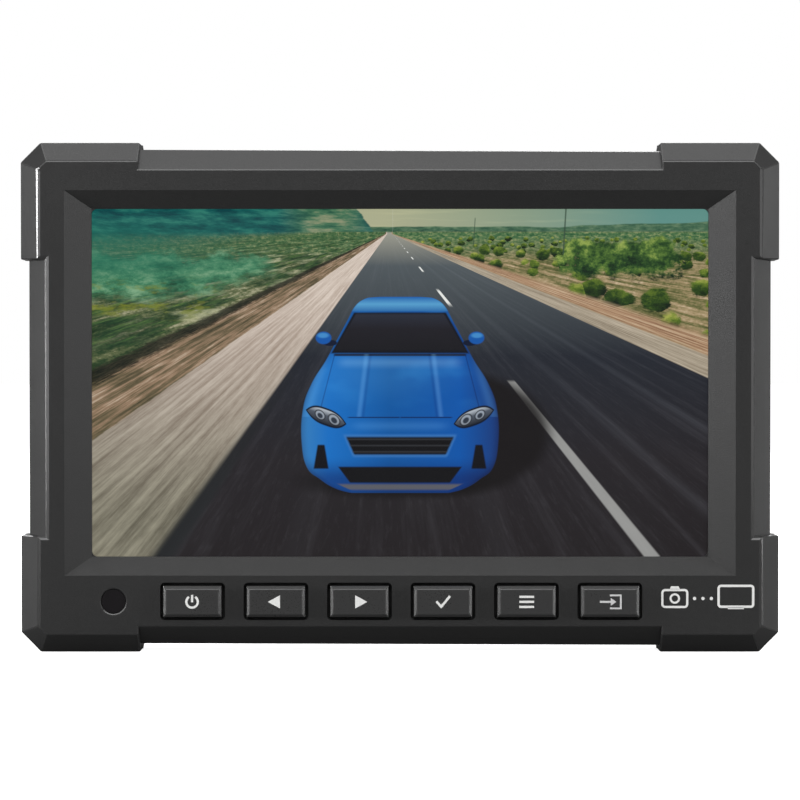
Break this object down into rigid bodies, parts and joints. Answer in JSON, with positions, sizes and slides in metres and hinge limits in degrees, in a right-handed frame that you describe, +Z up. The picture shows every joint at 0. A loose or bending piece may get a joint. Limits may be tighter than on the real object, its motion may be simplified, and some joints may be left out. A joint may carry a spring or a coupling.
{
  "type": "backup camera monitor",
  "caption": "Flat rectangular screen monitor with armoured corners, slanted edges, a recessed picture, a row of push keys, a round sensor window and a rear mounting pad.",
  "frame": {"origin": "under the middle of the monitor, on the surface its lower corner guards stand on; in depth, midway between the fronts of the keys and the rear mounting pad", "axes": "+X to the viewer's right, +Y from the screen to the back, +Z up"},
  "size_m": [0.1898, 0.029, 0.1274],
  "materials": {
    "housing": "black moulded plastic with a fine spark-eroded texture",
    "button_cap": "black moulded plastic, finer texture, light printed symbols",
    "black_screw": "black oxide",
    "steel_screw": "zinc plated",
    "brass": "turned and knurled",
    "label": "satin silver film, blank",
    "foam": "closed-cell foam",
    "sheet_steel": "pressed sheet",
    "lcd_glass": "antiglare glass in front of a lit picture",
    "white_plastic": "moulded or film",
    "film": "diffusing film",
    "acrylic": "clear acrylic",
    "polyimide": "amber polyimide with copper tracks",
    "led": "yellow phosphor",
    "circuit_board": "green solder mask",
    "black_plastic": "glass-filled, fine texture",
    "dark_window": "polished, passes infrared",
    "aluminium_can": "drawn can",
    "ferrite": "sintered",
    "nickel": "nickel plated",
    "gold_contact": "gold flash",
    "speaker_paper": "treated paper",
    "lead_insulation": "soft insulation"
  },
  "bodies": {
    "housing": {"front_bezel": "housing", "rear_housing": "housing", "housing_screws": "black_screw", "mount_inserts": "brass", "rating_label": "label", "lcd_gasket": "foam", "lcd_front_frame": "sheet_steel", "lcd_cell": "lcd_glass", "lcd_mid_frame": "white_plastic", "lcd_optical_films": "film", "lcd_light_guide": "acrylic", "lcd_led_strip": "polyimide", "lcd_leds": "led", "lcd_reflector": "white_plastic", "lcd_back_tray": "sheet_steel", "lcd_brackets": "sheet_steel", "lcd_bracket_screws": "steel_screw", "lcd_ribbon": "polyimide", "key_board": "circuit_board", "switch_housings": "black_plastic", "key_board_screws": "steel_screw", "key_ribbon": "white_plastic", "sensor_lens": "dark_window", "infrared_receiver": "black_plastic", "main_board": "circuit_board", "main_board_screws": "steel_screw", "shield_can": "sheet_steel", "board_chips": "black_plastic", "board_capacitors": "aluminium_can", "board_inductors": "ferrite", "board_connectors": "white_plastic", "dc_power_jack": "black_plastic", "camera_socket_base": "black_plastic", "camera_socket_shell": "nickel", "av_jack": "black_plastic", "jack_contacts": "gold_contact", "speaker_gasket": "foam", "speaker_frame": "sheet_steel", "speaker_cone": "speaker_paper", "speaker_magnet": "ferrite", "speaker_leads": "lead_insulation"},
    "power_key": {"power_button": "button_cap", "power_plunger": "black_plastic"},
    "left_key": {"left_button": "button_cap", "left_plunger": "black_plastic"},
    "right_key": {"right_button": "button_cap", "right_plunger": "black_plastic"},
    "select_key": {"select_button": "button_cap", "select_plunger": "black_plastic"},
    "menu_key": {"menu_button": "button_cap", "menu_plunger": "black_plastic"},
    "input_key": {"input_button": "button_cap", "input_plunger": "black_plastic"}
  },
  "joints": [
    {"name": "power_press", "type": "slide", "parent": "housing", "child": "power_key", "axis": [0, 1, 0], "range_m": [0, 0.0006], "stiffness_N_per_m": 1500},
    {"name": "left_press", "type": "slide", "parent": "housing", "child": "left_key", "axis": [0, 1, 0], "range_m": [0, 0.0006], "stiffness_N_per_m": 1500},
    {"name": "right_press", "type": "slide", "parent": "housing", "child": "right_key", "axis": [0, 1, 0], "range_m": [0, 0.0006], "stiffness_N_per_m": 1500},
    {"name": "select_press", "type": "slide", "parent": "housing", "child": "select_key", "axis": [0, 1, 0], "range_m": [0, 0.0006], "stiffness_N_per_m": 1500},
    {"name": "menu_press", "type": "slide", "parent": "housing", "child": "menu_key", "axis": [0, 1, 0], "range_m": [0, 0.0006], "stiffness_N_per_m": 1500},
    {"name": "input_press", "type": "slide", "parent": "housing", "child": "input_key", "axis": [0, 1, 0], "range_m": [0, 0.0006], "stiffness_N_per_m": 1500}
  ]
}
